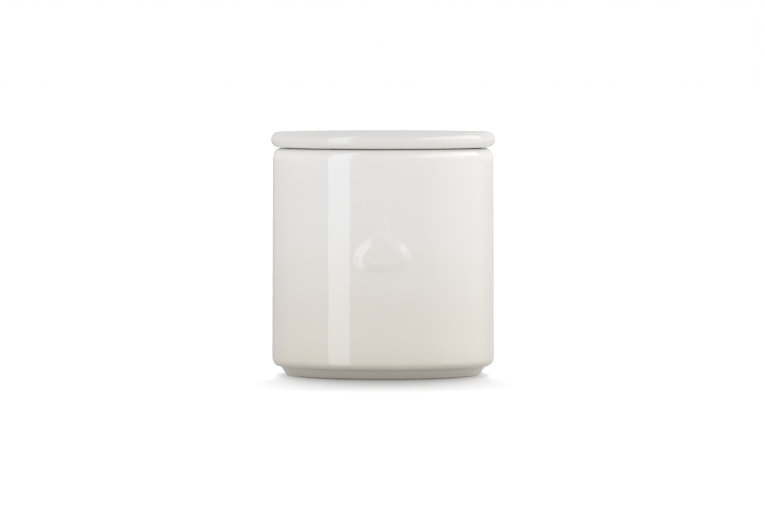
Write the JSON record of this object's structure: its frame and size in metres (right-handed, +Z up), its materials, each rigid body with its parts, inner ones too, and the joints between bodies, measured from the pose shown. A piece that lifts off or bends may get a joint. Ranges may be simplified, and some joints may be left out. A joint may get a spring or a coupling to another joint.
{
  "type": "garlic keeper",
  "caption": "Round glazed stoneware garlic keeper with a loose flat lid, a raised garlic bulb on the front, a sloped foot and small air holes in the back wall.",
  "frame": {"origin": "middle of the plane that the jar stands on, on the axis of the jar and the lid", "axes": "+Z up along the axis of the jar and the lid, the raised garlic bulb towards -Y, the air holes towards +Y"},
  "size_m": [0.1098, 0.1103, 0.1189],
  "materials": {
    "jar_glaze": "gloss",
    "lid_glaze": "gloss"
  },
  "bodies": {
    "jar": {"jar": "jar_glaze"},
    "lid": {"lid": "lid_glaze"}
  },
  "joints": [
    {"name": "lid_lift", "type": "slide", "parent": "jar", "child": "lid", "axis": [0, 0, 1], "range_m": [0, 0.1]}
  ]
}
